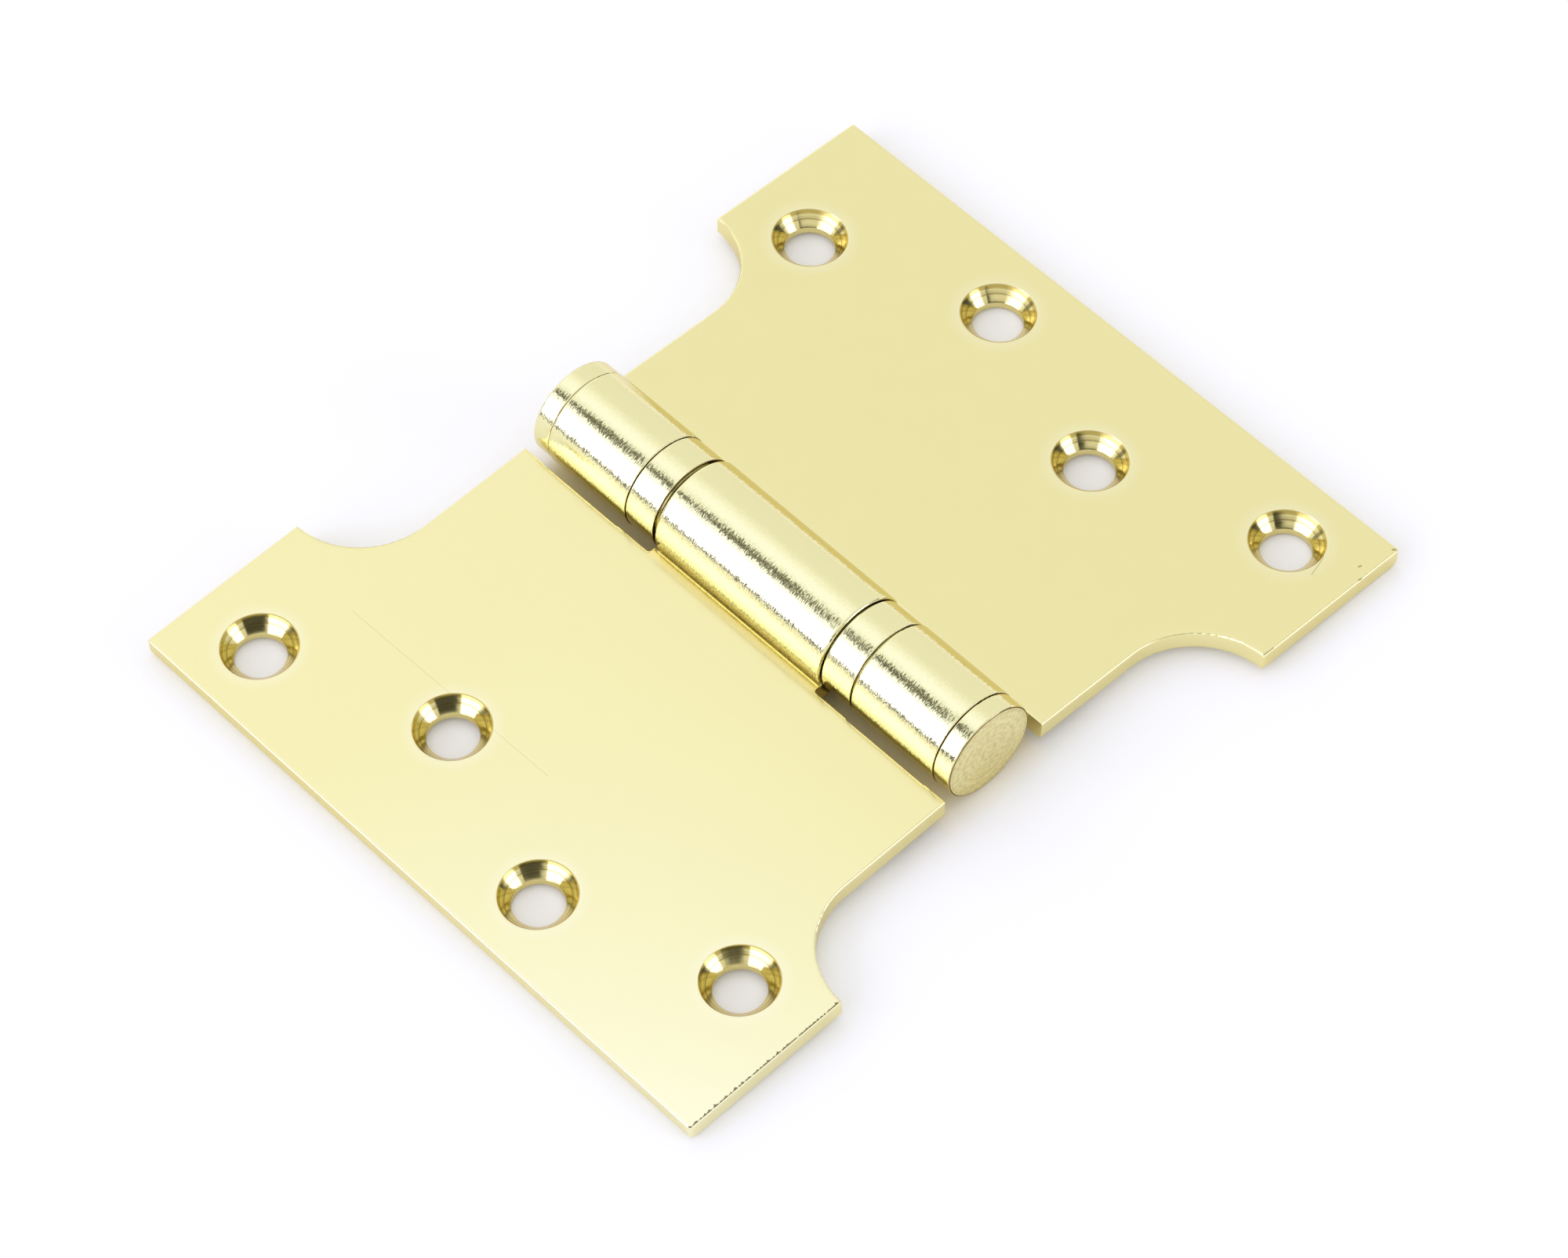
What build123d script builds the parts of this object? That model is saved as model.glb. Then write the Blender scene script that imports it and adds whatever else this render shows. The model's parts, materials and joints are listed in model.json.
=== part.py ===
from build123d import *
import os
from math import asin, cos, sin, sqrt

# Parliament hinge: two T-shaped brass leaves on one ball-bearing barrel.
# The barrel lies along Y and the leaves spread along X. The hinge is open
# and lies on a table (z = 0) on its barrel and on the leaves' outer edges.

os.makedirs("parts", exist_ok=True)

# Leaf, in its own plane: x runs from the barrel axis to the outer edge
leaf_length = 102.4
leaf_reach = 63.8
leaf_thickness = 3.0
leaf_drop = 2.1
head_width = 37.8
shoulder_depth = 11.8
shoulder_radius = 12.0
face_edge_radius = 0.25
back_edge_radius = 0.4
outer_back_radius = 1.1

# Notches in the leaf edge along the barrel
right_notch_x = 9.2
left_notch_x = 8.35
notch_relief = 0.12
notch_corner_radius = 0.5
seam_width = 0.22
seam_depth = 0.3

# Screw holes in a zigzag, countersunk from the face
outer_hole_inset = 9.6
inner_hole_inset = 18.9
end_hole_inset = 11.05
middle_hole_y = 13.2
screw_hole_radius = 3.5
countersink_radius = 5.18
countersink_angle = 80.0

# Barrel lengths along the axis
outer_knuckle_length = 14.8
bearing_length = 5.7
cap_thickness = 2.9
cap_margin = 0.55

# Barrel radii and the rounding of its pieces' ends
barrel_radius = 7.2
middle_radius = 7.35
cap_radius = 7.12
knuckle_edge = 0.15
middle_edge = 0.45
cap_edge = 0.25

# Pin and the cap spigots pressed into the outer knuckles
pin_radius = 3.75
running_clearance = 0.05
spigot_length = 3.0
pin_end_gap = 0.1
pin_chamfer = 0.4

# Thrust bearings between the knuckles
shell_radius = 7.08
shell_bore = 6.3
shell_edge = 0.15
shell_play = 0.5
lower_shell_gap = 0.2
race_gap = 1.3
swing_race_radius = 5.98
ball_radius = 0.8
ball_pitch_radius = 5.03
ball_count = 10
groove_clearance = 0.03
cage_thickness = 0.7
cage_inner_radius = 3.87
cage_outer_radius = 6.15
pocket_clearance = 0.05

# Derived values
axis_height = middle_radius
leaf_slope = asin((middle_radius - leaf_drop - leaf_thickness) / leaf_reach)
leaf_end = leaf_length / 2
neck_half_width = leaf_end - shoulder_depth
shoulder_x = leaf_reach - head_width
end_hole_y = leaf_end - end_hole_inset
outer_end = neck_half_width - cap_margin - cap_thickness
outer_start = outer_end - outer_knuckle_length
middle_half = outer_start - bearing_length
swing_bore = pin_radius + running_clearance
pin_half = outer_end - spigot_length - pin_end_gap
shell_length = bearing_length - shell_play
ball_y = middle_half + bearing_length / 2
race_thickness = (bearing_length - race_gap) / 2
barrel_axis = Axis((0, 0, axis_height), (0, 1, 0))


def leaf_plane(side, height=0.0):
    # Plane of the leaf on the +X (side 1) or -X (side -1) side; its x points outward
    plane = Plane(
        origin=(0, 0, axis_height),
        x_dir=(side * cos(leaf_slope), 0, -sin(leaf_slope)),
        z_dir=(side * sin(leaf_slope), 0, cos(leaf_slope)),
    )
    return plane.offset(height)


def barrel_plane(y):
    # Plane square across the barrel axis at y, facing +Y
    return Plane(origin=(0, y, axis_height), x_dir=(1, 0, 0), z_dir=(0, 1, 0))


def leaf_blank(side):
    # T-shaped plate with rounded rims, still solid up to the barrel axis. It is
    # drawn flat, back down, and then set into the plane of its leaf.
    circle_y = neck_half_width + shoulder_radius
    with BuildPart() as blank:
        with BuildSketch():
            Rectangle(leaf_reach, leaf_length, align=(Align.MIN, Align.CENTER))
        extrude(amount=leaf_thickness)
        outer_edges = blank.edges().filter_by(Axis.Y).group_by(Axis.X)[-1]
        fillet(outer_edges.sort_by(Axis.Z)[0], radius=outer_back_radius)
        with BuildSketch():
            with Locations((0, leaf_end), (0, -leaf_end)):
                Rectangle(2 * shoulder_x, 2 * shoulder_depth)
            with Locations((shoulder_x, circle_y), (shoulder_x, -circle_y)):
                Circle(shoulder_radius)
        extrude(amount=leaf_thickness, mode=Mode.SUBTRACT)
        # Rounding the back's ends also rounds the outer corners that run on from them
        back_rim = blank.faces().sort_by(Axis.Z)[0].edges()
        fillet(back_rim.filter_by(Axis.Y, reverse=True), radius=back_edge_radius)
        fillet(blank.faces().sort_by(Axis.Z)[-1].edges(), radius=face_edge_radius)
    return blank.part.moved(leaf_plane(side, -leaf_drop - leaf_thickness).location)


def knuckle(start, end, radius, edge):
    # Solid barrel piece from start to end along the axis, with rounded rims
    with BuildPart() as roll:
        with BuildSketch(barrel_plane(start)):
            Circle(radius)
        extrude(amount=end - start)
        fillet(roll.edges().filter_by(GeomType.CIRCLE), radius=edge)
    return roll.part


def notch(side, start, end, depth_x):
    # Block that clears the leaf from the axis out to depth_x, with rounded corners
    with BuildPart() as block:
        with BuildSketch(leaf_plane(side, -leaf_drop - leaf_thickness)):
            with Locations((0, side * (start + end) / 2)):
                RectangleRounded(2 * depth_x, abs(end - start), notch_corner_radius)
        extrude(amount=leaf_thickness)
    return block.part


def seam_groove(side, start, end, radius):
    # Narrow bar cut out where the leaf's face runs into its knuckle
    root_x = sqrt(radius**2 - leaf_drop**2)
    with BuildPart() as bar:
        with BuildSketch(leaf_plane(side, -leaf_drop)):
            with Locations((root_x, side * (start + end) / 2)):
                Rectangle(2 * seam_width, abs(end - start))
        extrude(amount=-seam_depth)
    return bar.part


def cut_screw_holes(side):
    # Four countersunk holes, entered from the face of the leaf
    outer_x = leaf_reach - outer_hole_inset
    inner_x = leaf_reach - inner_hole_inset
    spots = [
        (outer_x, -end_hole_y),
        (inner_x, -middle_hole_y),
        (outer_x, middle_hole_y),
        (inner_x, end_hole_y),
    ]
    with Locations(leaf_plane(side, -leaf_drop)):
        with Locations(*spots):
            CounterSinkHole(
                radius=screw_hole_radius,
                counter_sink_radius=countersink_radius,
                counter_sink_angle=countersink_angle,
            )


# Leaf that carries the two outer knuckles, on the +X side
right_blank = leaf_blank(1)
right_cuts = [
    notch(1, -outer_start, outer_start, right_notch_x),
    notch(1, -middle_half, middle_half, right_notch_x + notch_relief),
    notch(1, outer_end, leaf_end, right_notch_x),
    notch(1, -outer_end, -leaf_end, right_notch_x),
]
right_seams = [
    seam_groove(1, outer_start, outer_end, barrel_radius),
    seam_groove(1, -outer_start, -outer_end, barrel_radius),
]
upper_knuckle = knuckle(outer_start, outer_end, barrel_radius, knuckle_edge)
lower_knuckle = knuckle(-outer_end, -outer_start, barrel_radius, knuckle_edge)
with BuildPart() as outer_leaf:
    add(right_blank)
    add(right_cuts, mode=Mode.SUBTRACT)
    add(upper_knuckle)
    add(lower_knuckle)
    add(right_seams, mode=Mode.SUBTRACT)
    with BuildSketch(barrel_plane(0)):
        Circle(pin_radius)
    extrude(amount=outer_end, both=True, mode=Mode.SUBTRACT)
    cut_screw_holes(1)
outer_leaf.part.label = "leaf_with_outer_knuckles"
export_step(outer_leaf.part, "parts/leaf_with_outer_knuckles.step")

# Leaf that carries the middle knuckle, on the -X side
left_blank = leaf_blank(-1)
left_cuts = [
    notch(-1, middle_half, leaf_end, left_notch_x),
    notch(-1, outer_start, outer_end, left_notch_x + notch_relief),
    notch(-1, -middle_half, -leaf_end, left_notch_x),
    notch(-1, -outer_start, -outer_end, left_notch_x + notch_relief),
]
left_seam = seam_groove(-1, -middle_half, middle_half, middle_radius)
middle_knuckle = knuckle(-middle_half, middle_half, middle_radius, middle_edge)
with BuildPart() as middle_leaf:
    add(left_blank)
    add(left_cuts, mode=Mode.SUBTRACT)
    add(middle_knuckle)
    add(left_seam, mode=Mode.SUBTRACT)
    with BuildSketch(barrel_plane(0)):
        Circle(swing_bore)
    extrude(amount=middle_half, both=True, mode=Mode.SUBTRACT)
    cut_screw_holes(-1)
middle_leaf.part.label = "leaf_with_middle_knuckle"
export_step(middle_leaf.part, "parts/leaf_with_middle_knuckle.step")

# Pin, held fast in both outer knuckles and running in the middle one
with BuildPart() as pin:
    with BuildSketch(barrel_plane(-pin_half)):
        Circle(pin_radius)
    extrude(amount=2 * pin_half)
    chamfer(pin.edges().filter_by(GeomType.CIRCLE), length=pin_chamfer)
pin.part.label = "hinge_pin"
export_step(pin.part, "parts/hinge_pin.step")


def end_cap(end):
    # Flat disc with a spigot, closing the bore of one outer knuckle
    seat = Plane(origin=(0, end * outer_end, axis_height), x_dir=(1, 0, 0), z_dir=(0, end, 0))
    with BuildPart() as cap:
        with BuildSketch(seat):
            Circle(cap_radius)
        extrude(amount=cap_thickness)
        rims = cap.edges().filter_by(GeomType.CIRCLE)
        fillet(rims, radius=cap_edge)
        with BuildSketch(seat):
            Circle(pin_radius)
        extrude(amount=-spigot_length)
    return cap.part


upper_cap = end_cap(1)
upper_cap.label = "end_cap_upper"
export_step(upper_cap, "parts/end_cap_upper.step")

lower_cap = end_cap(-1)
lower_cap.label = "end_cap_lower"
export_step(lower_cap, "parts/end_cap_lower.step")


def bearing_shell(end, gap):
    # Collar seen between two knuckles; it hides the races and balls
    with BuildPart() as shell:
        with BuildSketch(barrel_plane(end * (middle_half + gap + shell_length / 2))):
            Circle(shell_radius)
            Circle(shell_bore, mode=Mode.SUBTRACT)
        extrude(amount=shell_length / 2, both=True)
        rims = shell.edges().filter_by(GeomType.CIRCLE).group_by(SortBy.RADIUS)[-1]
        fillet(rims, radius=shell_edge)
    return shell.part


def race(end, distance, radius):
    # Grooved washer; distance runs from the middle of the hinge to its outer face
    with BuildPart() as washer:
        with BuildSketch(barrel_plane(end * (distance - race_thickness / 2))):
            Circle(radius)
            Circle(swing_bore, mode=Mode.SUBTRACT)
        extrude(amount=race_thickness / 2, both=True)
        with BuildSketch(Plane.XY.offset(axis_height)):
            with Locations((ball_pitch_radius, end * ball_y)):
                Circle(ball_radius + groove_clearance)
        revolve(axis=barrel_axis, mode=Mode.SUBTRACT)
    return washer.part


def ball_cage(end):
    # Flat ring with one pocket per ball
    with BuildPart() as cage:
        with BuildSketch(barrel_plane(end * ball_y)):
            Circle(cage_outer_radius)
            Circle(cage_inner_radius, mode=Mode.SUBTRACT)
            with PolarLocations(ball_pitch_radius, ball_count):
                Circle(ball_radius + pocket_clearance, mode=Mode.SUBTRACT)
        extrude(amount=cage_thickness / 2, both=True)
    return cage.part


def ball_set(end):
    # All the balls of one bearing
    with BuildPart() as balls:
        with Locations(barrel_plane(end * ball_y)):
            with PolarLocations(ball_pitch_radius, ball_count):
                Sphere(ball_radius)
    return balls.part


# Upper and lower thrust bearing
for name, end, gap in (("upper", 1, shell_play), ("lower", -1, lower_shell_gap)):
    pieces = {
        f"bearing_shell_{name}": bearing_shell(end, gap),
        f"fixed_race_{name}": race(end, outer_start, shell_bore),
        f"swing_race_{name}": race(end, middle_half + race_thickness, swing_race_radius),
        f"ball_cage_{name}": ball_cage(end),
        f"ball_set_{name}": ball_set(end),
    }
    for label, piece in pieces.items():
        piece.label = label
        export_step(piece, f"parts/{label}.step")
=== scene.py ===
# %% [markdown]
# A parliament hinge in pale polished brass
#
# The hinge lies open on a white table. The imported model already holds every
# solid, so this lesson is about finishes and light: brass shows its surroundings
# more than itself, and half of the work is in the studio that it reflects.

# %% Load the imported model
import json
from math import cos, radians, sin

import bmesh
import bpy
from mathutils import Matrix, Vector


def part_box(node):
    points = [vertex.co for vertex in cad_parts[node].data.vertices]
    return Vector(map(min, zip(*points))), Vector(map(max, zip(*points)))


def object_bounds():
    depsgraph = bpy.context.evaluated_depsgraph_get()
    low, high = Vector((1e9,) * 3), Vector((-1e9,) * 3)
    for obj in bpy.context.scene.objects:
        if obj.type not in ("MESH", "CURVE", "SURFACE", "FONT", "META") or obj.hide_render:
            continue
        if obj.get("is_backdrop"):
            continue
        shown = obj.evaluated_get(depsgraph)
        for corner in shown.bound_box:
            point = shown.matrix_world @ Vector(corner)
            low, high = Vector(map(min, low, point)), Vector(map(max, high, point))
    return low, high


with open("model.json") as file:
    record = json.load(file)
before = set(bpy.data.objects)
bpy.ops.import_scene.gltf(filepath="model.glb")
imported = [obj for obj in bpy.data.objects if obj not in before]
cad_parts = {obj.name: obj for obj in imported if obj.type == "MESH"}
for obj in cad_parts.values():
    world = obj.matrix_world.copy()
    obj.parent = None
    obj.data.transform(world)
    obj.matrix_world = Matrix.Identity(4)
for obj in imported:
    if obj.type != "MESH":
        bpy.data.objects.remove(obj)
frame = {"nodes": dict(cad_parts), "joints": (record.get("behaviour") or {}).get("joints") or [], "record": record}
cad_low, cad_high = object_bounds()
nodes = frame["nodes"]
mm = 0.001
print("nodes:", len(nodes), "CAD box:", cad_low[:], cad_high[:])

# %% [markdown]
# Sizes that the finishes need
#
# A finish follows its piece: turning marks run round the barrel, and the rim of
# a countersink is polished softer than the plate. So the script needs the
# barrel's axis, the ends of the barrel's pieces and the middle of each screw
# hole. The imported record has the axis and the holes, and the boxes of the
# collars and caps give the ends. A cap's box also holds the spigot inside it, so
# the lengths that no box shows are written down here.

# %% Read the barrel axis and the screw holes
axis_height = frame["joints"][0]["pos_m"][2] / mm
screw_holes = []
for mount in frame["record"]["mounts"]:
    if mount["kind"] == "bolt_pattern":
        half_spacing = mount["dims"]["spacing_y_mm"] / 2
        for end in (-1, 1):
            screw_holes.append(Vector(mount["pos_m"]) / mm + Vector((0, end * half_spacing, 0)))
print("barrel axis", axis_height, "mm up;", len(screw_holes), "screw holes")

# %% Read where the barrel's pieces end
# Millimetres: the outer knuckles' radius, and lengths along the barrel
barrel_radius = 7.2
cap_thickness = 2.9
outer_knuckle_length = 14.8
collar_length = 5.7

_, collar_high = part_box("bearing_shell_upper")
_, cap_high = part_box("end_cap_upper")
cap_end = cap_high.y / mm
cap_start = cap_end - cap_thickness
knuckle_start = collar_high.y / mm
middle_end = cap_start - outer_knuckle_length - collar_length
leaf_end = cad_high.y / mm
print("caps from", cap_start, "to", cap_end)
print("outer knuckles from", knuckle_start, "and middle knuckle to", middle_end)

# %% [markdown]
# Three small helpers
#
# A colour is easiest to read as the hex value that a colour picker gives, but
# Blender's sockets want linear light, so the first function converts it. The
# second adds a node, sets it and links it in one call, which keeps a material's
# listing as short as its picture in the editor. The third starts a material.


# %% Colour and node helpers
def colour(hex_code):
    """Turns a hex colour as seen on screen into linear light."""
    channels = [int(hex_code[i : i + 2], 16) / 255 for i in (1, 3, 5)]
    linear = [c / 12.92 if c <= 0.04045 else ((c + 0.055) / 1.055) ** 2.4 for c in channels]
    return (*linear, 1.0)


def add(tree, kind, inputs=None, **settings):
    """Adds one node; each input gets a value, or the node or socket that feeds it."""
    node = tree.nodes.new(kind)
    for name, value in settings.items():
        setattr(node, name, value)
    for socket, value in (inputs or {}).items():
        if isinstance(value, bpy.types.Node):
            value = value.outputs[0]
        if isinstance(value, bpy.types.NodeSocket):
            tree.links.new(value, node.inputs[socket])
        else:
            node.inputs[socket].default_value = value
    return node


def new_material(name):
    """Gives a new material and its node tree, which has no nodes yet."""
    material = bpy.data.materials.new(name)
    material.use_nodes = True
    material.node_tree.nodes.clear()
    return material, material.node_tree


print("the barrel's brass in linear light:", [round(c, 3) for c in colour("#F2EDB7")])

# %% [markdown]
# The camera
#
# A long lens looks down on the hinge from its near left corner. Its distance,
# angles and lens were worked out from where the leaf corners, the screw holes
# and the ends of the barrel appear, which is how a surveyor would do it.

# %% Place the camera
lens = 135.3
camera_azimuth = radians(-43.52)
camera_elevation = radians(53.5)
camera_roll = radians(-0.33)
camera_distance = 0.76057
look_at = Vector((-0.001916, -0.002942, axis_height * mm))

back = Vector(
    (
        sin(camera_azimuth) * cos(camera_elevation),
        -cos(camera_azimuth) * cos(camera_elevation),
        sin(camera_elevation),
    )
)
level_right = (-back).cross(Vector((0, 0, 1))).normalized()
level_up = level_right.cross(-back)
right = level_right * cos(camera_roll) + level_up * sin(camera_roll)
up = level_up * cos(camera_roll) - level_right * sin(camera_roll)

camera_data = bpy.data.cameras.new("photo_camera")
camera_data.lens = lens
camera_data.sensor_width = 36
camera_data.shift_x = 0.0016
camera_data.shift_y = -0.021
camera_data.clip_start = 0.05
camera_data.clip_end = 20
camera = bpy.data.objects.new("photo_camera", camera_data)
bpy.context.scene.collection.objects.link(camera)
turn = Matrix((right, up, back)).transposed().to_4x4()
camera.matrix_world = Matrix.Translation(look_at + back * camera_distance) @ turn
bpy.context.scene.camera = camera
bpy.context.scene.view_settings.view_transform = "Standard"
print("camera at", [round(c, 3) for c in camera.matrix_world.translation])

# %% [markdown]
# The studio
#
# Polished brass on white paper is lit by a tent of white cloth. The tent is
# painted on the world, because a lamp can't be a dark gap, and the dark gaps
# draw the streaks that make the barrel look round. Directions are sorted by the
# angle round the barrel's own line and by how far they point along that line.

# %% Find the direction's place in the tent
world = bpy.data.worlds.new("light_tent")
bpy.context.scene.world = world
world.use_nodes = True
tree = world.node_tree
tree.nodes.clear()

direction = add(tree, "ShaderNodeTexCoord").outputs["Generated"]
side, along, height = add(tree, "ShaderNodeSeparateXYZ", {0: direction}).outputs
turn_round = add(tree, "ShaderNodeMath", {0: side, 1: height}, operation="ARCTAN2")
angle = add(tree, "ShaderNodeMath", {0: turn_round}, operation="DEGREES")


def between(tree, value, low, high, soft):
    """Gives 1 where value lies between low and high, with soft shoulders outside."""
    rise = {"From Min": low - soft, "From Max": low}
    fall = {"From Min": high + soft, "From Max": high}
    rise = add(tree, "ShaderNodeMapRange", {"Value": value, **rise})
    fall = add(tree, "ShaderNodeMapRange", {"Value": value, **fall})
    return add(tree, "ShaderNodeMath", {0: rise, 1: fall}, operation="MULTIPLY")


print("tent sorted by angle and by the way along")

# %% [markdown]
# The cloth that the barrel mirrors
#
# From the camera's place the barrel mirrors one narrow hoop of the tent. The
# hoop is painted with a colour ramp: a bright softbox low on the left, a dimmer
# ceiling, and plain cloth on the right. The rest of the tent is white cloth, so
# that the brass also looks like brass from other sides. It gets a little
# brighter towards the far end.

# %% Paint the plain cloth and the hoop
# Degrees from overhead, minus on the left, and the light there
hoop = [
    (-96, (0.9, 0.9, 0.9)),
    (-93, (0.03, 0.03, 0.02)),
    (-84.2, (0.03, 0.03, 0.02)),
    (-82.5, (2.9, 2.9, 3.8)),
    (-62, (2.9, 2.9, 3.8)),
    (-50, (2.3, 2.3, 2.9)),
    (-40, (1.4, 1.42, 1.75)),
    (-34, (1.15, 1.18, 1.5)),
    (-24, (0.95, 0.97, 1.05)),
    (-15, (0.98, 1.0, 1.1)),
    (-6, (1.15, 1.17, 1.42)),
    (8, (1.14, 1.16, 1.4)),
    (18, (1.06, 1.07, 1.15)),
    (23, (1.02, 1.03, 1.1)),
    (32, (0.935, 0.93, 0.925)),
    (60, (0.92, 0.92, 0.92)),
    (90, (0.92, 0.92, 0.92)),
]
hoop_white = max(max(light) for _, light in hoop)
place = add(tree, "ShaderNodeMapRange", {"Value": angle, "From Min": -180, "From Max": 180})
ramp = add(tree, "ShaderNodeValToRGB", {0: place})
stops = ramp.color_ramp.elements
while len(stops) < len(hoop):
    stops.new(0.5)
for stop, (degrees_round, light) in zip(stops, hoop):
    stop.position = (degrees_round + 180) / 360
    stop.color = (*(level / hoop_white for level in light), 1)
hoop_light = add(
    tree, "ShaderNodeVectorMath", {0: ramp, "Scale": hoop_white}, operation="SCALE"
)

plain = {"From Min": -0.4, "From Max": 0.9, "To Min": 0.84, "To Max": 1.12}
plain = add(tree, "ShaderNodeMapRange", {"Value": along, **plain})
hoop_start, hoop_end, hoop_soft = 0.22, 0.55, 0.05
in_hoop = between(tree, along, hoop_start, hoop_end, hoop_soft)
tent = add(tree, "ShaderNodeMix", {0: in_hoop, 6: plain, 7: hoop_light}, data_type="RGBA")
print("hoop painted with", len(hoop), "colours")

# %% [markdown]
# A dark slot and five panels
#
# The slot lies between the softbox and the ceiling. It is wide near the middle
# of the tent and narrow further back, so the streak that it draws swells along
# each piece of the barrel and then stops. The panels are what the countersinks
# mirror: two bright ones on the left and in front, and three dark ones.

# %% Cut the slot
# Its middle and half width in degrees, and where it starts and ends along the tent
slot_middle = -25.5
half_width = {"From Min": 0.38, "From Max": 0.53, "To Min": 10.5, "To Max": 2.8}
slot_start, slot_end, slot_soft = 0.37, 0.66, 0.02
slot_strength = 0.97
slot_light = (0.1, 0.095, 0.06, 1)

slot_half = add(tree, "ShaderNodeMapRange", {"Value": along, **half_width})
from_middle = add(tree, "ShaderNodeMath", {0: angle, 1: slot_middle}, operation="SUBTRACT")
from_middle = add(tree, "ShaderNodeMath", {0: from_middle}, operation="ABSOLUTE")
inside_slot = add(tree, "ShaderNodeMath", {0: slot_half, 1: from_middle}, operation="SUBTRACT")
slot = add(tree, "ShaderNodeMapRange", {"Value": inside_slot, "From Min": -1, "From Max": 1})
slot = add(tree, "ShaderNodeMath", {0: slot, 1: slot_strength}, operation="MULTIPLY")
slot_open = between(tree, along, slot_start, slot_end, slot_soft)
slot = add(tree, "ShaderNodeMath", {0: slot, 1: slot_open}, operation="MULTIPLY")
tent = add(
    tree,
    "ShaderNodeMix",
    {0: slot, 6: tent.outputs[2], 7: slot_light},
    data_type="RGBA",
)
print("slot cut", -slot_middle, "degrees left of overhead")

# %% Hang the panels
# Angle round, way along, height, and light
panels = [
    ((-80, -58), (-0.28, 0.22), (0.2, 0.5), (2.9, 2.9, 3.8)),
    ((-64, -8), (-0.97, -0.36), (0.34, 0.475), (0.06, 0.06, 0.05)),
    ((32, 76), (-0.97, -0.76), (0.12, 0.42), (3.0, 3.0, 4.2)),
    ((79, 92), (-0.72, -0.3), (-0.1, 0.17), (0.08, 0.08, 0.08)),
    ((-90, -68), (0.64, 0.84), (0.03, 0.24), (0.25, 0.25, 0.22)),
]
angle_soft, along_soft, height_soft = 4, 0.05, 0.02
for angles, alongs, heights, light in panels:
    at_angle = between(tree, angle, *angles, angle_soft)
    at_along = between(tree, along, *alongs, along_soft)
    at_height = between(tree, height, *heights, height_soft)
    panel = add(tree, "ShaderNodeMath", {0: at_angle, 1: at_along}, operation="MULTIPLY")
    panel = add(tree, "ShaderNodeMath", {0: panel, 1: at_height}, operation="MULTIPLY")
    tent = add(
        tree,
        "ShaderNodeMix",
        {0: panel, 6: tent.outputs[2], 7: (*light, 1)},
        data_type="RGBA",
    )
print("panels hung:", len(panels))

# %% [markdown]
# What the camera sees behind the table
#
# The table ends before the horizon. Beyond it the camera sees plain white, and
# so does the brass where it looks just above the table. Everything higher stays
# the tent, or the brass would lose its streaks.

# %% Give the world its output
rays = add(tree, "ShaderNodeLightPath").outputs
seen = add(tree, "ShaderNodeMath", {0: rays["Is Glossy Ray"], 1: rays["Is Transmission Ray"]})
horizon = add(tree, "ShaderNodeMapRange", {"Value": height, "From Min": 0.01, "From Max": 0.0})
seen = add(tree, "ShaderNodeMath", {0: seen, 1: horizon}, operation="MULTIPLY")
seen = add(tree, "ShaderNodeMath", {0: seen, 1: rays["Is Camera Ray"]}, use_clamp=True)
shown = add(
    tree,
    "ShaderNodeMix",
    {0: seen, 6: tent.outputs[2], 7: (1, 1, 1, 1)},
    data_type="RGBA",
)
background = add(tree, "ShaderNodeBackground", {"Color": shown.outputs[2], "Strength": 1.0})
add(tree, "ShaderNodeOutputWorld", {"Surface": background})
print("white behind the table")

# %% [markdown]
# The table
#
# A sheet of white paper, much larger than the hinge and a hair below its lowest
# point. A camera that is exposed for the brass shows such paper as pure white,
# so the paper glows a little for the camera and for the brass. The glow is left
# off under the hinge, which paints shade there, where the paper shows through the
# gap along the barrel. There the paper is also painted a little in the brass's
# colour, a painted reflection of light bounced off the brass.

# %% Lay the paper
paper_half = 1.5
paper_gap = 0.02 * mm
shape = bmesh.new()
bmesh.ops.create_grid(shape, x_segments=1, y_segments=1, size=paper_half)
bmesh.ops.translate(shape, vec=(0, 0, cad_low.z - paper_gap), verts=shape.verts)
paper_mesh = bpy.data.meshes.new("paper")
shape.to_mesh(paper_mesh)
shape.free()
paper = bpy.data.objects.new("paper", paper_mesh)
bpy.context.scene.collection.objects.link(paper)
paper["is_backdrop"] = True
print("paper", 2 * paper_half, "m wide")

# %% Make the paper white
# In metres from the hinge's middle: the glow sets in beside the barrel and past
# its ends, so the paper within is painted in shade, and the painted brass bounce
# ends beside it
glow_beside = {"From Min": 0.011, "From Max": 0.02}
glow_beyond = {"From Min": 0.0365, "From Max": 0.042}
painted_bounce_under = {"From Min": 0.01, "From Max": 0.008}
glow_strength = 0.08

paper_white, tree = new_material("matt_white_paper")
spot = add(tree, "ShaderNodeTexCoord").outputs["Object"]
spot = add(tree, "ShaderNodeVectorMath", {0: spot}, operation="ABSOLUTE")
spot = add(tree, "ShaderNodeSeparateXYZ", {0: spot})
# Painted shade: the glow is left off under the hinge, so the paper there is darker
beside = add(tree, "ShaderNodeMapRange", {"Value": spot.outputs[0], **glow_beside})
beyond = add(tree, "ShaderNodeMapRange", {"Value": spot.outputs[1], **glow_beyond})
clear = add(tree, "ShaderNodeMath", {0: beside, 1: beyond}, operation="MAXIMUM")
rays = add(tree, "ShaderNodeLightPath").outputs
seen = add(tree, "ShaderNodeMath", {0: rays["Is Camera Ray"], 1: rays["Is Glossy Ray"]})
seen = add(tree, "ShaderNodeMath", {0: seen, 1: rays["Is Transmission Ray"]}, use_clamp=True)
glow = add(tree, "ShaderNodeMath", {0: seen, 1: clear}, operation="MULTIPLY")
glow = add(tree, "ShaderNodeMath", {0: glow, 1: glow_strength}, operation="MULTIPLY")
# Painted reflection: the paper under the barrel takes the brass's colour, as bounced light
under = add(tree, "ShaderNodeMapRange", {"Value": spot.outputs[0], **painted_bounce_under})
beyond = add(tree, "ShaderNodeMath", {0: 1.0, 1: beyond}, operation="SUBTRACT")
under = add(tree, "ShaderNodeMath", {0: under, 1: beyond}, operation="MULTIPLY")
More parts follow.
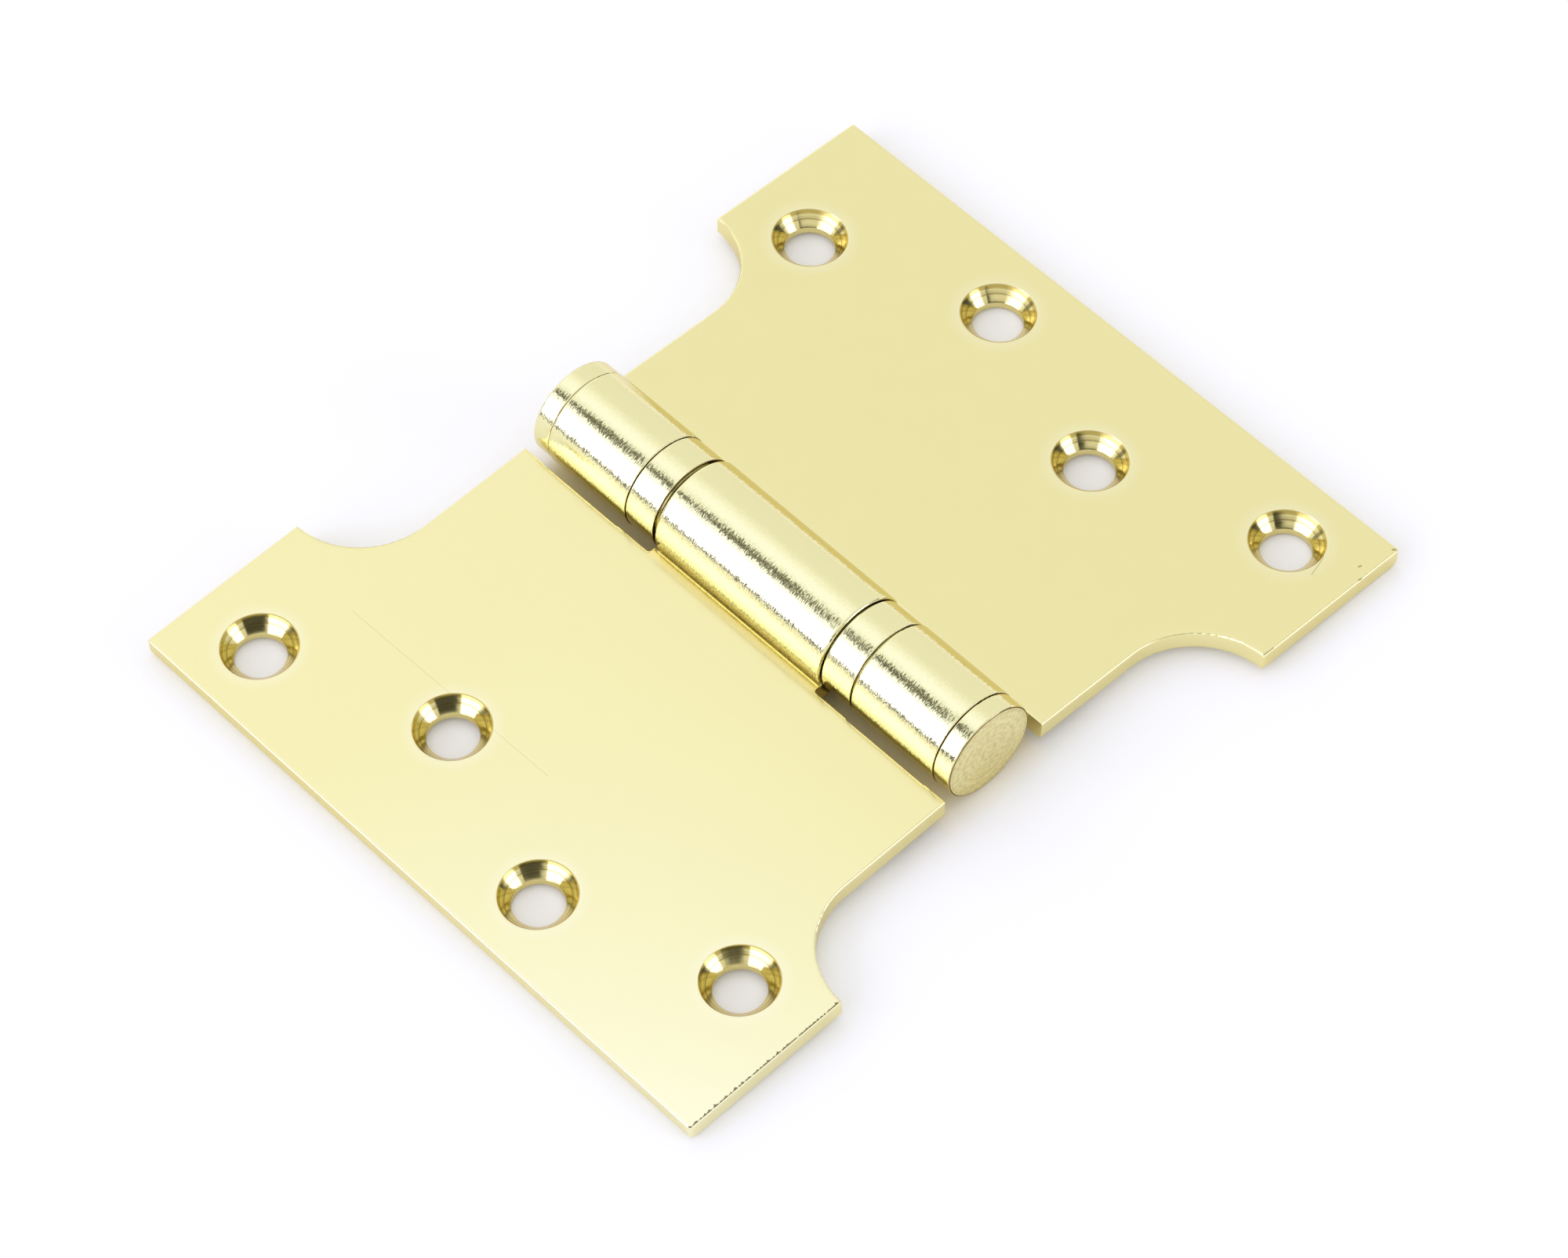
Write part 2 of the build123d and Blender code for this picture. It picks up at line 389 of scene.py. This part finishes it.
shade = add(
    tree,
    "ShaderNodeMix",
    {0: under, 6: colour("#F5F4F4"), 7: colour("#F7ECCF")},
    data_type="RGBA",
)
lit = add(tree, "ShaderNodeBsdfDiffuse", {"Color": shade.outputs[2]})
glow = add(tree, "ShaderNodeEmission", {"Color": (1, 1, 1, 1), "Strength": glow})
both = add(tree, "ShaderNodeAddShader", {0: lit, 1: glow})
add(tree, "ShaderNodeOutputMaterial", {"Surface": both})
paper_mesh.materials.append(paper_white)
print("white paper laid under the hinge")

# %% [markdown]
# Where a point lies on its piece
#
# Patterns are easiest to size in millimetres, in the piece's own coordinates,
# so that they stay on the piece when the hinge turns. On the barrel the useful
# numbers are the arc round it, the distance along it and the distance from its
# axis. On a leaf they are the distances to the middles of its screw holes.


# %% Functions for places
def millimetres(tree):
    """Gives the point in the piece's own coordinates, in millimetres."""
    own = add(tree, "ShaderNodeTexCoord").outputs["Object"]
    return add(tree, "ShaderNodeVectorMath", {0: own, "Scale": 1 / mm}, operation="SCALE")


def barrel_place(tree, point):
    """Gives (arc, along) as a vector, the distance along, and that from the axis."""
    axis = (0, 0, axis_height)
    from_axis = add(tree, "ShaderNodeVectorMath", {0: point, 1: axis}, operation="SUBTRACT")
    offsets = add(tree, "ShaderNodeSeparateXYZ", {0: from_axis}).outputs
    turned = add(tree, "ShaderNodeMath", {0: offsets[0], 1: offsets[2]}, operation="ARCTAN2")
    arc = add(tree, "ShaderNodeMath", {0: turned, 1: barrel_radius}, operation="MULTIPLY")
    place = add(tree, "ShaderNodeCombineXYZ", {0: arc, 1: offsets[1]})
    across = add(tree, "ShaderNodeCombineXYZ", {0: offsets[0], 1: offsets[2]})
    radius = add(tree, "ShaderNodeVectorMath", {0: across}, operation="LENGTH")
    return place, offsets[1], radius.outputs["Value"]


def hole_distance(tree, point, side):
    """Gives the distance to the nearest screw hole of one leaf, in the plan."""
    # Starts further away than any hole
    nearest = 1000.0
    for hole in screw_holes:
        if hole.x * side > 0:
            offset = add(
                tree, "ShaderNodeVectorMath", {0: point, 1: hole[:]}, operation="SUBTRACT"
            )
            flat = add(
                tree, "ShaderNodeVectorMath", {0: offset, 1: (1, 1, 0)}, operation="MULTIPLY"
            )
            away = add(tree, "ShaderNodeVectorMath", {0: flat}, operation="LENGTH")
            nearest = add(
                tree,
                "ShaderNodeMath",
                {0: away.outputs["Value"], 1: nearest},
                operation="MINIMUM",
            )
    return nearest


print("places ready")

# %% [markdown]
# Turning marks, brush lines and polished edges
#
# A polished face isn't a perfect mirror. Fine marks tip its normal by a degree
# or two, and that frays the edge of every reflection. A bump map could do it,
# but tipping the normal itself keeps the angle under control: one noise, drawn
# out along the marks, says how far to lean across the barrel and along it. The
# buffing wheel also rolls the last half millimetre of each face over its edge,
# which Blender's Bevel node does without any new geometry.


# %% Functions for the polished surface
def softened_normal(tree, roll, radius):
    """Gives the normal, rolled a little towards every edge that is near."""
    flat = add(tree, "ShaderNodeNewGeometry").outputs["Normal"]
    rolled = add(tree, "ShaderNodeBevel", {"Radius": radius * mm}, samples=6)
    mixed = add(tree, "ShaderNodeMix", {0: roll, 4: flat, 5: rolled}, data_type="VECTOR")
    return mixed.outputs[1]


def lean(tree, normal, across, along):
    """Leans a normal across the barrel's line and along it, by small slopes."""
    line = (0, 1, 0)
    sideways = add(tree, "ShaderNodeVectorMath", {0: line, 1: normal}, operation="CROSS_PRODUCT")
    step = add(tree, "ShaderNodeVectorMath", {0: sideways, "Scale": across}, operation="SCALE")
    push = add(tree, "ShaderNodeCombineXYZ", {1: along})
    moved = add(tree, "ShaderNodeVectorMath", {0: normal, 1: step}, operation="ADD")
    moved = add(tree, "ShaderNodeVectorMath", {0: moved, 1: push}, operation="ADD")
    return add(tree, "ShaderNodeVectorMath", {0: moved}, operation="NORMALIZE")


def marks(tree, place, size_mm, slopes, seed):
    """Gives two leans from one noise whose cells are size_mm across and along."""
    scale = tuple(1 / size for size in size_mm)
    cells = add(tree, "ShaderNodeMapping", {"Vector": place, "Scale": scale, "Location": seed})
    noise = add(tree, "ShaderNodeTexNoise", {"Vector": cells, "Scale": 1.0, "Detail": 2.0})
    centred = add(
        tree,
        "ShaderNodeVectorMath",
        {0: noise.outputs["Color"], 1: (0.5, 0.5, 0.5)},
        operation="SUBTRACT",
    )
    sized = add(
        tree, "ShaderNodeVectorMath", {0: centred, 1: (*slopes, 0)}, operation="MULTIPLY"
    )
    both = add(tree, "ShaderNodeSeparateXYZ", {0: sized}).outputs
    return both[0], both[1]


print("surface functions ready")


# %% [markdown]
# The crown of a barrel piece
#
# Buffing takes more off near the ends of a barrel piece than off its middle, so
# each piece is a little crowned. Its normals lean outwards towards both ends,
# which is why the streaks swell and fade along every piece. The lean grows evenly
# from the middle, and faster in the last few millimetres. A piece can also tip a
# little as a whole.


# %% Functions for a barrel piece
def crown(tree, along, start, end, slope, tip=0.0):
    """Gives the lean along the barrel of a piece that runs from start to end."""
    middle, half = (start + end) / 2, (end - start) / 2
    reach = {"From Min": middle - half, "From Max": middle + half, "To Min": -1, "To Max": 1}
    share = add(tree, "ShaderNodeMapRange", {"Value": along, **reach})
    cubed = add(tree, "ShaderNodeMath", {0: share, 1: 3.0}, operation="POWER")
    grown = add(tree, "ShaderNodeMath", {0: share, 1: cubed})
    return add(
        tree, "ShaderNodeMath", {0: grown, 1: slope / 2, 2: tip}, operation="MULTIPLY_ADD"
    )


def seam_shade(tree, along, radius, start, end, width):
    """Gives 1 round the two ends of a piece, falling to 0 at width from them."""
    middle, half = (start + end) / 2, (end - start) / 2
    away = add(tree, "ShaderNodeMath", {0: along, 1: middle}, operation="SUBTRACT")
    away = add(tree, "ShaderNodeMath", {0: away}, operation="ABSOLUTE")
    edge = {"From Min": half - width, "From Max": half - 0.3 * width}
    ends = add(tree, "ShaderNodeMapRange", {"Value": away, **edge})
    rim = {"From Min": barrel_radius - 0.4, "From Max": barrel_radius - 0.3}
    rim = add(tree, "ShaderNodeMapRange", {"Value": radius, **rim})
    return add(tree, "ShaderNodeMath", {0: ends, 1: rim}, operation="MULTIPLY")


print("barrel functions ready")

# %% [markdown]
# Brass for the barrel's loose pieces
#
# Caps and collars are turned from brass bar and polished on the lathe. Their
# marks run round the barrel and are short, because the polishing cloth keeps
# moving. Real marks are about 0.02 mm wide. They are drawn 0.15 mm wide here, or
# they would vanish between two pixels. The ends of each piece are painted dark
# brown, as painted shade in the seams between the pieces.

# %% Choose what the barrel's finishes share
grazing_tone = colour("#F3EADB")
barrel_tone = colour("#F2EDB7")
painted_seam_shade_tone = colour("#735A2B")
# Millimetres round the barrel and along it
hair_size = (0.6, 0.15, 1)
print("marks round the barrel are", hair_size[0], "mm long and", hair_size[1], "mm wide")


# %% Turned brass
def turned_brass(name, base, start, end, slope, grain, rough, painted_shade_width):
    """Brass for one turned piece between two places along the barrel.

    slope is how far its crown leans, and grain how far its marks lean across the
    barrel and along it. The width of the shade painted at its ends is in millimetres.
    """
    material, tree = new_material(name)
    point = millimetres(tree)
    place, along, radius = barrel_place(tree, point)

    across_lean, along_lean = marks(tree, place, hair_size, grain, (3, 7, 0))
    bent = crown(tree, along, start, end, slope)
    along_lean = add(tree, "ShaderNodeMath", {0: along_lean, 1: bent})
    normal = softened_normal(tree, roll=0.3, radius=0.35)
    normal = lean(tree, normal, across_lean, along_lean)

    # Painted shade: the ends of the piece darken to brown beside the seams
    painted_seam_shade = seam_shade(tree, along, radius, start, end, painted_shade_width)
    tone = add(tree, "ShaderNodeMix", {0: painted_seam_shade, 6: base, 7: painted_seam_shade_tone}, data_type="RGBA")
    cloud = add(tree, "ShaderNodeTexNoise", {"Vector": point, "Scale": 0.35, "Detail": 3.0})

    # The flat end keeps faint rings and specks from facing
    ring_place = add(tree, "ShaderNodeCombineXYZ", {0: radius})
    rings = add(tree, "ShaderNodeTexNoise", {"Vector": ring_place, "Scale": 1.3, "Detail": 4.0})
    specks = add(tree, "ShaderNodeTexNoise", {"Vector": point, "Scale": 1.6, "Detail": 5.0})
    facing = add(tree, "ShaderNodeMath", {0: rings, 1: specks}, operation="MULTIPLY")
    facing = add(
        tree, "ShaderNodeMapRange", {"Value": facing, "From Min": 0.17, "From Max": 0.4}
    )
    on_end = {"From Min": barrel_radius - 0.3, "From Max": barrel_radius - 0.5}
    on_end = add(tree, "ShaderNodeMapRange", {"Value": radius, **on_end})
    facing = add(tree, "ShaderNodeMath", {0: facing, 1: on_end}, operation="MULTIPLY")
    tone = add(
        tree,
        "ShaderNodeMix",
        {0: facing, 6: tone.outputs[2], 7: colour("#D6CB8E")},
        data_type="RGBA",
    )
    gloss = {"From Min": 0.3, "From Max": 0.7, "To Min": rough - 0.03, "To Max": rough + 0.04}
    gloss = add(tree, "ShaderNodeMapRange", {"Value": cloud, **gloss})
    shader = add(
        tree,
        "ShaderNodeBsdfPrincipled",
        {
            "Base Color": tone.outputs[2],
            "Metallic": 1.0,
            "Roughness": gloss,
            "Specular Tint": grazing_tone,
            "Normal": normal,
        },
    )
    add(tree, "ShaderNodeOutputMaterial", {"Surface": shader})
    return material


print("turned brass ready")

# %% Finish the caps and collars
# The painted shade at the seams round the upper collar is the wider one
collar_painted_shade = {"upper": 0.16, "lower": 0.05}
for end_name, sign in (("upper", 1), ("lower", -1)):
    low, high = sorted((sign * cap_start, sign * cap_end))
    nodes[f"end_cap_{end_name}"].data.materials[0] = turned_brass(
        f"turned_brass_cap_{end_name}",
        barrel_tone,
        start=low,
        end=high,
        slope=0.03,
        grain=(0.3, 0.22),
        rough=0.11,
        painted_shade_width=0.12,
    )
    box_low, box_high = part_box(f"bearing_shell_{end_name}")
    nodes[f"bearing_shell_{end_name}"].data.materials[0] = turned_brass(
        f"turned_brass_collar_{end_name}",
        barrel_tone,
        start=box_low.y / mm,
        end=box_high.y / mm,
        slope=0.045,
        grain=(0.34, 0.28),
        rough=0.12,
        painted_shade_width=collar_painted_shade[end_name],
    )
print("caps and collars finished")

# %% [markdown]
# Scratches and nicks
#
# Handling leaves a few marks on a polished plate: one long faint scratch, short
# arcs beside a screw hole and tiny dark nicks near the edges. Each one is a line
# between two places, so a list of places in millimetres is enough.


# %% List the marks and draw one
# From, to and half width in millimetres, and depth of the tone
scratches = [
    ((-41.8, 35.7), (-41.1, -1.0), 0.05, 0.16),
    ((52.2, -46.2), (55.2, -45.4), 0.05, 0.5),
    ((55.2, -45.4), (57.6, -43.6), 0.05, 0.4),
    ((57.7, -49.5), (58.0, -49.6), 0.1, 0.7),
    ((63.0, -50.6), (63.3, -50.8), 0.1, 0.8),
    ((56.1, -51.0), (56.5, -51.1), 0.1, 0.7),
    ((37.6, -51.0), (39.8, -51.1), 0.08, 0.6),
]


def scratch(tree, spread, start, end, width, depth):
    """Gives depth within width of the line from start to end on a face."""
    run = Vector(end) - Vector(start)
    way = run.normalized()
    flat = add(tree, "ShaderNodeCombineXYZ", {0: spread[0], 1: spread[1]})
    offset = add(
        tree, "ShaderNodeVectorMath", {0: flat, 1: (*start, 0)}, operation="SUBTRACT"
    )
    reach = add(
        tree, "ShaderNodeVectorMath", {0: offset, 1: (*way, 0)}, operation="DOT_PRODUCT"
    )
    reach = add(
        tree,
        "ShaderNodeClamp",
        {"Value": reach.outputs["Value"], "Min": 0.0, "Max": run.length},
    )
    nearest = add(
        tree, "ShaderNodeVectorMath", {0: (*way, 0), "Scale": reach}, operation="SCALE"
    )
    away = add(tree, "ShaderNodeVectorMath", {0: offset, 1: nearest}, operation="DISTANCE")
    fade = {"From Min": width * 1.6, "From Max": width, "To Min": 0.0, "To Max": depth}
    return add(tree, "ShaderNodeMapRange", {"Value": away.outputs["Value"], **fade})


print("marks listed:", len(scratches))

# %% [markdown]
# Marks on a leaf and its knuckles
#
# Each leaf and its knuckles are one extruded piece, polished after machining.
# The plate was buffed along the barrel, so its faint lines run that way. The
# knuckles were buffed round, like the collars. One material covers both, and
# the distance from the barrel's axis tells them apart.


# %% Functions for the marks on a leaf
def leaf_leans(tree, point, place, on_barrel, side):
    """Gives the leans of short marks round the knuckles and long ones on the plate."""
    hair_across, hair_along = marks(tree, place, hair_size, (0.32, 0.24), (1, 2, 0))
    brush_across, brush_along = marks(tree, point, (0.35, 14, 3), (0.016, 0.006), (5, side, 0))
    wave_across, wave_along = marks(tree, point, (16, 22, 9), (0.01, 0.01), (side, 4, 2))
    plate_across = add(tree, "ShaderNodeMath", {0: brush_across, 1: wave_across})
    plate_along = add(tree, "ShaderNodeMath", {0: brush_along, 1: wave_along})
    across_lean = add(tree, "ShaderNodeMix", {0: on_barrel, 2: plate_across, 3: hair_across})
    along_lean = add(tree, "ShaderNodeMix", {0: on_barrel, 2: plate_along, 3: hair_along})
    return across_lean, along_lean


def crown_knuckles(tree, along, radius, on_barrel, along_lean, knuckles):
    """Adds each knuckle's crown to the lean, and gives the shade painted at its ends too."""
    slope, painted_shade_width, margin = 0.05, 0.08, 0.4
    painted_seam_shade = 0.0
    for start, end, tip in knuckles:
        bent = crown(tree, along, start, end, slope, tip)
        near = add(
            tree,
            "ShaderNodeMath",
            {0: along, 1: (start + end) / 2, 2: (end - start) / 2 + margin},
            operation="COMPARE",
        )
        near = add(tree, "ShaderNodeMath", {0: near, 1: on_barrel}, operation="MULTIPLY")
        bent = add(tree, "ShaderNodeMath", {0: bent, 1: near}, operation="MULTIPLY")
        along_lean = add(tree, "ShaderNodeMath", {0: along_lean, 1: bent})
        # Painted shade: each knuckle's ends darken beside the seams
        dark = seam_shade(tree, along, radius, start, end, painted_shade_width)
        dark = add(tree, "ShaderNodeMath", {0: dark, 1: near}, operation="MULTIPLY")
        painted_seam_shade = add(tree, "ShaderNodeMath", {0: dark, 1: painted_seam_shade}, operation="MAXIMUM")
    return along_lean, painted_seam_shade


print("leaf marks ready")

# %% [markdown]
# The corner beside the barrel
#
# A buffing wheel can't reach into the corner where the plate meets the barrel.
# The face hollows there, which leans its normals. A gold band is painted there
# as a painted reflection, and a thin brown line of painted shade runs along the
# joint itself.


# %% Function for the corner
def corner_parts(tree, radius, on_barrel, hollow_and_paint_share):
    """Gives the shares of the corner, lean and painted gold, and of the joint's painted shade."""
    corner = {"From Min": barrel_radius + 1.9, "From Max": barrel_radius + 0.9}
    corner = add(tree, "ShaderNodeMapRange", {"Value": radius, **corner})
    plain = {"From Min": 1.0, "From Max": 0.0, "To Min": 0.0, "To Max": hollow_and_paint_share}
    plain = add(tree, "ShaderNodeMapRange", {"Value": on_barrel, **plain})
    corner = add(tree, "ShaderNodeMath", {0: corner, 1: plain}, operation="MULTIPLY")
    joint = {"From Min": barrel_radius + 0.42, "From Max": barrel_radius + 0.34}
    joint = add(tree, "ShaderNodeMapRange", {"Value": radius, **joint})
    joint = add(tree, "ShaderNodeMath", {0: joint, 1: plain}, operation="MULTIPLY")
    return corner, joint


print("corner ready")

# %% [markdown]
# The screw holes
#
# The wheel dips in at each screw hole and rubs the face round it a little paler.
# The cone keeps fine rings from its cutter, and a thin darker band runs just
# inside its rim.


# %% Function for the screw holes
def hole_parts(tree, away):
    """Gives the shares of cone, rim and rubbed face, then the rings and their lines."""
    # In millimetres from the middle of the hole; the countersink's edge is at 5.2
    in_cone = {"From Min": 5.3, "From Max": 5.12}
    near_rim = {"From Min": 4.75, "From Max": 4.9}
    round_hole = {"From Min": 7.0, "From Max": 5.3, "To Min": 0.0, "To Max": 0.35}
    sunk = add(tree, "ShaderNodeMapRange", {"Value": away, **in_cone})
    rim_band = add(tree, "ShaderNodeMapRange", {"Value": away, **near_rim})
    rim_band = add(tree, "ShaderNodeMath", {0: rim_band, 1: sunk}, operation="MULTIPLY")
    rubbed = add(tree, "ShaderNodeMapRange", {"Value": away, **round_hole})

    ring_place = add(tree, "ShaderNodeCombineXYZ", {0: away})
    rings = add(
        tree, "ShaderNodeTexNoise", {"Vector": ring_place, "Scale": 2.6, "Detail": 3.0}
    )
    ring_lines = {"From Min": 0.48, "From Max": 0.62, "To Min": 0.0, "To Max": 0.6}
    ring_lines = add(tree, "ShaderNodeMapRange", {"Value": rings, **ring_lines})
    ring_lines = add(tree, "ShaderNodeMath", {0: ring_lines, 1: sunk}, operation="MULTIPLY")
    return sunk, rim_band, rubbed, rings, ring_lines


print("screw hole finish ready")

# %% [markdown]
# Patches on the plate
#
# The leaf with the middle knuckle is painted paler towards its free corner, a
# painted highlight. A ragged dark line is painted along the near end of its face,
# a painted dark reflection in the burr left where the blank was cut to length.
# The line and the scratches belong to the flat face, so both fade where the
# surface no longer looks up.


# %% Functions for the patches
def painted_glare_corner(tree, spread):
    """Gives a painted highlight's share, growing to 1 towards the middle leaf's free corner."""
    # In millimetres from the hinge's middle
    outward = {"From Min": -14, "From Max": -62}
    outward = add(tree, "ShaderNodeMapRange", {"Value": spread[0], **outward})
    endward = {"From Min": 22, "From Max": -50}
    endward = add(tree, "ShaderNodeMapRange", {"Value": spread[1], **endward})
    return add(tree, "ShaderNodeMath", {0: outward, 1: endward}, operation="MULTIPLY")


def face_share(tree):
    """Gives 0.85 on a face that looks up, and 0 on the edges and below."""
    own_normal = add(tree, "ShaderNodeTexCoord").outputs["Normal"]
    upward = add(tree, "ShaderNodeSeparateXYZ", {0: own_normal}).outputs[2]
    looks_up = {"From Min": 0.5, "From Max": 0.7, "To Min": 0.0, "To Max": 0.85}
    return add(tree, "ShaderNodeMapRange", {"Value": upward, **looks_up})


def painted_end_line(tree, spread, on_face, hollow_and_paint_share):
    """Gives a ragged strip of painted dark reflection along the near end of a face, times share."""
    # Painted reflection: a dark ragged line stands for the dark that the end's edge mirrors
    across_end = add(tree, "ShaderNodeCombineXYZ", {0: spread[0]})
    ragged = add(
        tree, "ShaderNodeTexNoise", {"Vector": across_end, "Scale": 1.8, "Detail": 4.0}
    )
    painted_line_width = {"From Min": 0.42, "From Max": 0.72, "To Min": 0.12, "To Max": 0.6}
    painted_line_width = add(tree, "ShaderNodeMapRange", {"Value": ragged, **painted_line_width})
    from_end = add(tree, "ShaderNodeMath", {0: spread[1], 1: leaf_end})
    painted_line = add(tree, "ShaderNodeMath", {0: painted_line_width, 1: from_end}, operation="SUBTRACT")
    painted_line = add(tree, "ShaderNodeMapRange", {"Value": painted_line, "From Min": 0.0, "From Max": 0.05})
    painted_line = add(tree, "ShaderNodeMath", {0: painted_line, 1: on_face}, operation="MULTIPLY")
    return add(tree, "ShaderNodeMath", {0: painted_line, 1: hollow_and_paint_share}, operation="MULTIPLY")


def wear(tree, spread, on_face, side):
    """Gives the scratches and nicks of one leaf."""
    worn = 0.0
    for start, end, width, depth in scratches:
        if start[0] * side > 0:
            line = scratch(tree, spread, start, end, width, depth)
            worn = add(tree, "ShaderNodeMath", {0: line, 1: worn}, operation="MAXIMUM")
    return add(tree, "ShaderNodeMath", {0: worn, 1: on_face}, operation="MULTIPLY")


print("patches ready")

# %% [markdown]
# Brass for a leaf
#
# The finishes above meet in one material for each leaf. Their base colours are
# laid from the widest patch to the smallest, as a painter would lay them, so a
# narrow mark always lies on top.


# %% Leaf brass
corner_lean = 0.12


def leaf_brass(name, side, hollow_and_paint_share, knuckles):
    """Brass for one leaf and its knuckles.

    side is -1 or 1 across the barrel. The third argument says how strongly the
    corner's lean and painted gold reflection, the joint's painted shade and the
    painted dark line at the near end show. knuckles lists each one's start, end and tip.
    """
    material, tree = new_material(name)
    point = millimetres(tree)
    place, along, radius = barrel_place(tree, point)
    round_part = {"From Min": barrel_radius + 0.33, "From Max": barrel_radius + 0.2}
    on_barrel = add(tree, "ShaderNodeMapRange", {"Value": radius, **round_part})
    corner, joint = corner_parts(tree, radius, on_barrel, hollow_and_paint_share)

    across_lean, along_lean = leaf_leans(tree, point, place, on_barrel, side)
    across_lean = add(
        tree,
        "ShaderNodeMath",
        {0: corner, 1: corner_lean * side, 2: across_lean},
        operation="MULTIPLY_ADD",
    )
    along_lean, painted_seam_shade = crown_knuckles(tree, along, radius, on_barrel, along_lean, knuckles)
    normal = softened_normal(tree, roll=0.2, radius=0.7)
    normal = lean(tree, normal, across_lean, along_lean)

    away = hole_distance(tree, point, side)
    sunk, rim_band, rubbed, rings, ring_lines = hole_parts(tree, away)
    spread = add(tree, "ShaderNodeSeparateXYZ", {0: point}).outputs
    on_face = face_share(tree)
    tone = colour("#F2EAAE")
    for share, next_tone in (
        # Painted highlight: paler towards the middle leaf's free corner
        (painted_glare_corner(tree, spread), colour("#F9F6CE")),
        (rubbed, colour("#FAF6D6")),
        # Painted reflection: a gold band in the corner beside the barrel
        (corner, colour("#F3E084")),
        # Painted shade: a thin brown line in the joint
        (joint, colour("#8A6A30")),
        (on_barrel, barrel_tone),
        (sunk, colour("#ECDF9C")),
        (ring_lines, colour("#8C7732")),
        (rim_band, colour("#C6B263")),
        # Painted shade at the knuckles' seams
        (painted_seam_shade, painted_seam_shade_tone),
        # Painted reflection: a dark line along the near end of the face
        (painted_end_line(tree, spread, on_face, hollow_and_paint_share), colour("#5C5426")),
        (wear(tree, spread, on_face, side), colour("#6F6538")),
    ):
        tone = add(
            tree, "ShaderNodeMix", {0: share, 6: tone, 7: next_tone}, data_type="RGBA"
        ).outputs[2]

    # Cloudy on the plate, in rings in the cones, even on the knuckles
    cloud = add(tree, "ShaderNodeTexNoise", {"Vector": point, "Scale": 0.3, "Detail": 4.0})
    ring_gloss = {"From Min": 0.3, "From Max": 0.7, "To Min": 0.07, "To Max": 0.15}
    ring_gloss = add(tree, "ShaderNodeMapRange", {"Value": rings, **ring_gloss})
    plate_gloss = {"From Min": 0.3, "From Max": 0.7, "To Min": 0.15, "To Max": 0.22}
    plate_gloss = add(tree, "ShaderNodeMapRange", {"Value": cloud, **plate_gloss})
    gloss = add(tree, "ShaderNodeMix", {0: sunk, 2: plate_gloss, 3: ring_gloss})
    gloss = add(tree, "ShaderNodeMix", {0: on_barrel, 2: gloss, 3: 0.11})
    shader = add(
        tree,
        "ShaderNodeBsdfPrincipled",
        {
            "Base Color": tone,
            "Metallic": 1.0,
            "Roughness": gloss,
            "Specular Tint": grazing_tone,
            "Normal": normal,
        },
    )
    add(tree, "ShaderNodeOutputMaterial", {"Surface": shader})
    return material


print("leaf brass ready")

# %% Finish the leaves
# Each knuckle's start, end and tip
middle_span = [(-middle_end, middle_end, 0.0)]
outer_spans = [(-cap_start, -knuckle_start, 0.012), (knuckle_start, cap_start, -0.02)]
nodes["leaf_with_middle_knuckle"].data.materials[0] = leaf_brass(
    "buffed_brass_middle_leaf", side=-1, hollow_and_paint_share=1.0, knuckles=middle_span
)
nodes["leaf_with_outer_knuckles"].data.materials[0] = leaf_brass(
    "buffed_brass_outer_leaf", side=1, hollow_and_paint_share=0.1, knuckles=outer_spans
)
print("leaves finished")

# %% [markdown]
# Steel inside the barrel
#
# The pin, the races and the balls are hidden while the hinge is whole, but they
# show when a reader takes it apart. Bearing steel is ground: grey, glossy and
# with fine marks round the axis.


# %% Ground steel
def ground_steel(name, rough, grain):
    """Bearing steel with marks round the barrel's axis."""
    material, tree = new_material(name)
    point = millimetres(tree)
    place, _, _ = barrel_place(tree, point)
    across_lean, along_lean = marks(tree, place, (2.0, 0.12, 1), grain, (9, 1, 0))
    normal = softened_normal(tree, roll=0.5, radius=0.1)
    normal = lean(tree, normal, across_lean, along_lean)
    cloud = add(tree, "ShaderNodeTexNoise", {"Vector": point, "Scale": 0.5, "Detail": 4.0})
    gloss = {"From Min": 0.3, "From Max": 0.7, "To Min": rough - 0.05, "To Max": rough + 0.06}
    gloss = add(tree, "ShaderNodeMapRange", {"Value": cloud, **gloss})
    tone = add(
        tree,
        "ShaderNodeMix",
        {0: cloud, 6: colour("#B9BBBD"), 7: colour("#D2D3D3")},
        data_type="RGBA",
    )
    shader = add(
        tree,
        "ShaderNodeBsdfPrincipled",
        {
            "Base Color": tone.outputs[2],
            "Metallic": 1.0,
            "Roughness": gloss,
            "Specular Tint": grazing_tone,
            "Normal": normal,
        },
    )
    add(tree, "ShaderNodeOutputMaterial", {"Surface": shader})
    return material


print("ground steel ready")

# %% Finish the bearing pieces
race_steel = ground_steel("ground_bearing_steel", rough=0.28, grain=(0.02, 0.08))
ball_steel = ground_steel("lapped_ball_steel", rough=0.1, grain=(0.005, 0.005))
pin_steel = ground_steel("ground_pin_steel", rough=0.25, grain=(0.02, 0.06))
# No shade is painted at the ends of a cage, so they are set far past the barrel's own
cage_brass = turned_brass(
    "punched_cage_brass",
    colour("#D9B765"),
    start=-90,
    end=90,
    slope=0,
    grain=(0.06, 0.06),
    rough=0.3,
    painted_shade_width=0.1,
)
nodes["hinge_pin"].data.materials[0] = pin_steel
for end_name in ("upper", "lower"):
    nodes[f"fixed_race_{end_name}"].data.materials[0] = race_steel
    nodes[f"swing_race_{end_name}"].data.materials[0] = race_steel
    nodes[f"ball_set_{end_name}"].data.materials[0] = ball_steel
    nodes[f"ball_cage_{end_name}"].data.materials[0] = cage_brass
print("bearing pieces finished")

# %% [markdown]
# Print the dressed box
#
# No mesh was changed, so the dressed hinge has the imported model's size. The
# dressed box is printed here; the imported one was printed at the start.

# %% Print the dressed box
low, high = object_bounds()
print("dressed box:", low[:], high[:])
